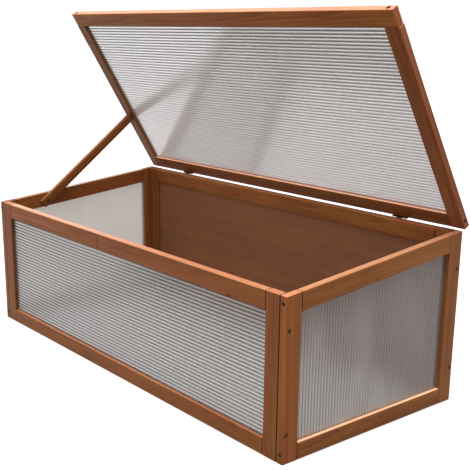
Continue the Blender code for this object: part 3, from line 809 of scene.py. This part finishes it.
def screw_mesh(name, size, raised=False):
    """Screw along +Z from its head at the origin, with a cross recess.

    size is as in TIMBER_SCREW. raised gives it a round head that stands proud of the origin.
    """
    head, depth, shank, length = size
    mesh_data = bmesh.new()
    if raised:
        profile = [(0, -depth), (head * 0.45, -depth * 0.97), (head * 0.75, -depth * 0.80),
                   (head * 0.94, -depth * 0.48), (head, -depth * 0.12), (head * 0.97, 0),
                   (shank, 0)]
        mouth = -depth
    else:
        profile = [(0, 0), (head - SCREW_RIM, 0), (head, SCREW_RIM),
                   (head * 0.97, SCREW_RIM * 2), (shank, depth)]
        mouth = 0.0
    for _ in range(int((length - depth - 3 * shank) / THREAD_PITCH)):
        level = max(profile[-1][1], 0) + THREAD_PITCH / 2
        profile += [(shank * 0.80, level), (shank, level + THREAD_PITCH / 2)]
    profile += [(shank * 0.8, length - 2 * shank), (0, length)]
    turned(mesh_data, profile, 20)
    cutter = recess_cutter(head * 0.58, min(depth * 0.85, head * 0.6))
    bmesh.ops.translate(cutter, verts=cutter.verts, vec=(0, 0, mouth))
    return carved(name, mesh_data, cutter, STEEL_LOOK)


def screw_place(name, turn=0.0):
    """Placement of a screw that takes the place of a CAD one: head at its top, Z along it."""
    cloud = points(name)
    centre = (cloud.max(0) + cloud.min(0)) / 2
    axis = np.linalg.eigh((cloud - centre).T @ (cloud - centre))[1][:, -1]
    mean = cloud.mean(0)
    along = (cloud - mean) @ axis
    radial = np.linalg.norm((cloud - mean) - np.outer(along, axis), axis=1)
    wide = radial > radial.max() * 0.9
    if along[wide].mean() > 0:
        axis, along = -axis, -along
    head = mean + axis * along.min()
    direction = Vector(axis)
    side = direction.orthogonal().normalized()
    side.rotate(Matrix.Rotation(turn, 3, direction))
    return frame_at(Vector(head), side, direction.cross(side))


def build_screws():
    """Swap each plain CAD screw for one with a driver recess, each turned its own way."""
    rng = np.random.default_rng(7)
    meshes = {
        "corner": screw_mesh("corner_screw_mesh", TIMBER_SCREW),
        "long": screw_mesh("long_screw_mesh", LONG_SCREW),
        "pivot": screw_mesh("pivot_screw_mesh", PIVOT_SCREW, raised=True),
    }
    for name in sorted(n for n in nodes if n.endswith("screw")):
        if name == "prop_pivot_screw":
            mesh = meshes["pivot"]
        elif name.endswith("corner_screw"):
            mesh = meshes["corner"]
        else:
            mesh = meshes["long"]
        place = screw_place(name, rng.uniform(0, pi / 2))
        if name == "prop_pivot_screw":
            place = place @ Matrix.Translation((0, 0, PIVOT_SCREW[1]))
        piece = place_mesh(name + "_driven", mesh, place, nodes[name]["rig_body"])
        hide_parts(name)


def build_hinge_screws():
    """Two countersunk screws in each hinge leaf."""
    rng = np.random.default_rng(23)
    mesh = screw_mesh("hinge_screw_mesh", LEAF_SCREW)
    axis = Vector(joints["lid_hinge"]["pos_m"])
    for label in ("left", "right"):
        x = middle(f"{label}_hinge_frame_leaf").x
        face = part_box(f"{label}_hinge_frame_leaf")[0].y + LEAF_THICKNESS
        for leaf in ("frame", "lid"):
            for place, sign in (("inner", -1), ("outer", 1)):
                if leaf == "frame":
                    point = Vector((x + sign * LEAF_HOLE_SPACING, face,
                                    axis.z - LEAF_HOLE_DROP))
                    inward = Vector((0, -1, 0))
                else:
                    edge = LID_REAR_EDGE + LID_NORMAL * LID_BOARD / 2
                    point = edge + LID_REAR * (LEAF_THICKNESS + LEAF_GAP)
                    point.x = x + sign * LEAF_HOLE_SPACING
                    inward = -LID_REAR
                side = inward.orthogonal().normalized()
                side.rotate(Matrix.Rotation(rng.uniform(0, pi / 2), 3, inward))
                spot = frame_at(point - inward * LEAF_SCREW_RAISE, side, inward.cross(side))
                piece = place_mesh(f"{label}_hinge_{leaf}_leaf_screw_{place}", mesh, spot, leaf)


def build_prop():
    """Full-length stick from its pivot to the underside of the lid's left rail."""
    pivot = Vector(joints["prop_pivot"]["pos_m"])
    turn = long_axes("prop_stick")
    along = turn @ Vector((1, 0, 0))
    across = Vector((1, 0, 0)).cross(along)
    gap = (LID_REAR_EDGE - pivot).dot(LID_NORMAL) - PROP_CLEARANCE
    lower = across * (PROP_WIDTH / 2)
    reach = min((gap - side * lower.dot(LID_NORMAL)) / along.dot(LID_NORMAL)
                for side in (-1, 1))
    mesh_data = bmesh.new()
    size = Vector((reach + PROP_HEEL, PROP_THICKNESS, PROP_WIDTH))
    centre = Vector(((reach - PROP_HEEL) / 2, -PROP_THICKNESS / 2, 0))
    bmesh.ops.create_cube(mesh_data, size=1.0, matrix=Matrix.Translation(centre)
                          @ Matrix.Diagonal((*size, 1.0)))
    bmesh.ops.bevel(mesh_data, geom=list(mesh_data.edges), offset=PROP_BEVEL, segments=3,
                    affect="EDGES", profile=0.5)
    hole = bmesh.new()
    turned(hole, [(0, -0.012), (PROP_HOLE, -0.012), (PROP_HOLE, 0.012), (0, 0.012)], 24)
    bmesh.ops.rotate(hole, verts=hole.verts, matrix=Matrix.Rotation(pi / 2, 3, "X"))
    place = frame_at(pivot, along, Vector((-1, 0, 0)))
    look = timber("prop_stick_timber", Matrix.Identity(3), Vector((0, 0, 0)), 77, shade=0.80,
                  yellow=0.6)
    mesh = carved("prop_stick_mesh", mesh_data, hole, look)
    piece = place_mesh("prop_stick_full", mesh, place, "prop")
    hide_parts("prop_stick")


# ---------------------------------------------------------------- studio


def build_studio():
    """Plain floor and even surroundings, with a level for each kind of ray, and three suns."""
    floor_look = Shader("studio_floor")
    rays = floor_look.add("LightPath")
    paper = floor_look.add("BsdfDiffuse", {"Color": (FLOOR["camera"],) * 3 + (1.0,)}).outputs[0]
    glow = floor_look.add("Emission", {"Strength": 1.0}).outputs[0]
    paper = floor_look.add("MixShader", {0: FLOOR_GLOW, 1: paper, 2: glow}).outputs[0]
    # Painted shade and light: the floor seen through a sheet is darker, and lighter past the left
    # end
    place = floor_look.add("SeparateXYZ", {"Vector": floor_look.add("TexCoord").outputs["Object"]})
    beyond = floor_look.span(place.outputs["X"], BEYOND_FROM, BEYOND_TO, smooth=True)
    through = floor_look.mix(beyond, (FLOOR["through"],) * 3, FLOOR_BEYOND)
    tone = floor_look.mix(rays.outputs["Is Transmission Ray"], (FLOOR["gloss"],) * 3, through)
    tone = floor_look.mix(rays.outputs["Is Diffuse Ray"], tone, (FLOOR["matt"],) * 3)
    other = floor_look.add("BsdfDiffuse", {"Color": tone}).outputs[0]
    floor_material = floor_look.output(floor_look.add("MixShader", {
        0: rays.outputs["Is Camera Ray"], 1: other, 2: paper}).outputs[0])
    mesh_data = bmesh.new()
    bmesh.ops.create_circle(mesh_data, cap_ends=True, segments=96, radius=FLOOR_RADIUS)
    mesh = bpy.data.meshes.new("studio_floor")
    mesh_data.to_mesh(mesh)
    mesh_data.free()
    mesh.materials.append(floor_material)
    floor = bpy.data.objects.new("studio_floor", mesh)
    bpy.context.scene.collection.objects.link(floor)

    world = bpy.data.worlds.new("studio")
    bpy.context.scene.world = world
    world.use_nodes = True
    tree = world.node_tree
    background = tree.nodes["Background"]
    background.inputs["Color"].default_value = (1.0, 1.0, 1.0, 1.0)
    path = tree.nodes.new("ShaderNodeLightPath")
    level = SKY["gloss"]
    for ray, name in (("Is Camera Ray", "camera"), ("Is Transmission Ray", "through"),
                      ("Is Diffuse Ray", "matt")):
        step = tree.nodes.new("ShaderNodeMapRange")
        if isinstance(level, float):
            step.inputs["To Min"].default_value = level
        else:
            tree.links.new(level, step.inputs["To Min"])
        step.inputs["To Max"].default_value = SKY[name]
        tree.links.new(path.outputs[ray], step.inputs["Value"])
        level = step.outputs[0]
    tree.links.new(level, background.inputs["Strength"])
    world.cycles.sampling_method = "NONE"

    for name, (towards, spread, power) in LIGHTS.items():
        light = bpy.data.lights.new(name, "SUN")
        light.angle = radians(spread)
        light.energy = power
        item = bpy.data.objects.new(name, light)
        item.location = Vector(towards) * 2
        item.rotation_euler = Vector(towards).to_track_quat("Z", "Y").to_euler()
        bpy.context.scene.collection.objects.link(item)


def build_camera():
    """Camera on the viewing angle, with the object off the lens axis."""
    back = Vector((sin(AZIMUTH) * cos(ELEVATION), -cos(AZIMUTH) * cos(ELEVATION),
                   sin(ELEVATION)))
    right = Vector((cos(AZIMUTH), sin(AZIMUTH), 0))
    right = right * cos(ROLL) + back.cross(right) * sin(ROLL)
    camera = bpy.data.cameras.new("camera")
    camera.lens = LENS
    camera.sensor_width = SENSOR_WIDTH
    camera.shift_x, camera.shift_y = SHIFT
    item = bpy.data.objects.new("camera", camera)
    item.matrix_world = frame_at(TARGET + back * DISTANCE, right, back.cross(right))
    bpy.context.scene.collection.objects.link(item)
    bpy.context.scene.camera = item


# ---------------------------------------------------------------- assembly

CHANNEL_LOOK = sheet_channel("twin_wall_channel")
RIB_LOOK = sheet_rib("twin_wall_rib")
STEEL_LOOK = steel("dull_zinc_screw", SCREW_STEEL)
HINGE_LOOK = steel("dull_zinc_hinge", HINGE_STEEL)

# Lid directions: from its front edge to its rear edge, and square to its faces
LID_REAR = long_axes("lid_left_rail") @ Vector((1, 0, 0))
if LID_REAR.z > 0:
    LID_REAR = -LID_REAR
LID_REAR.x = 0
LID_REAR.normalize()
LID_NORMAL = Vector((1, 0, 0)).cross(LID_REAR)
rail_points = points("lid_left_rail")
LID_REAR_EDGE = (LID_REAR * float((rail_points @ np.array(LID_REAR)).max())
                 + LID_NORMAL * float((rail_points @ np.array(LID_NORMAL)).min()))

paint_timber()
paint("back_plywood_board", plywood("plywood_face", middle("back_plywood_board")))
for node_name in nodes:
    if "hinge" in node_name or node_name == "prop_washer":
        paint(node_name, HINGE_LOOK)
rear, front = middle("back_top_rail"), middle("front_top_rail")
rim_slope = (rear.z - front.z) / (rear.y - front.y)
build_sheet("front_glazing_sheet", ((1, 0, 0), (0, 0, 1)), "frame", 0.0)
build_sheet("left_glazing_sheet", ((0, 0, 1), (0, 1, 0)), "frame", rim_slope)
build_sheet("right_glazing_sheet", ((0, 0, 1), (0, 1, 0)), "frame", rim_slope)
build_sheet("lid_glazing_sheet", ((1, 0, 0), LID_REAR), "lid", 0.0)
build_screws()
build_hinge_screws()
build_prop()
build_studio()
build_camera()

scene = bpy.context.scene
scene.view_settings.view_transform = "Standard"
scene.cycles.transparent_max_bounces = 32
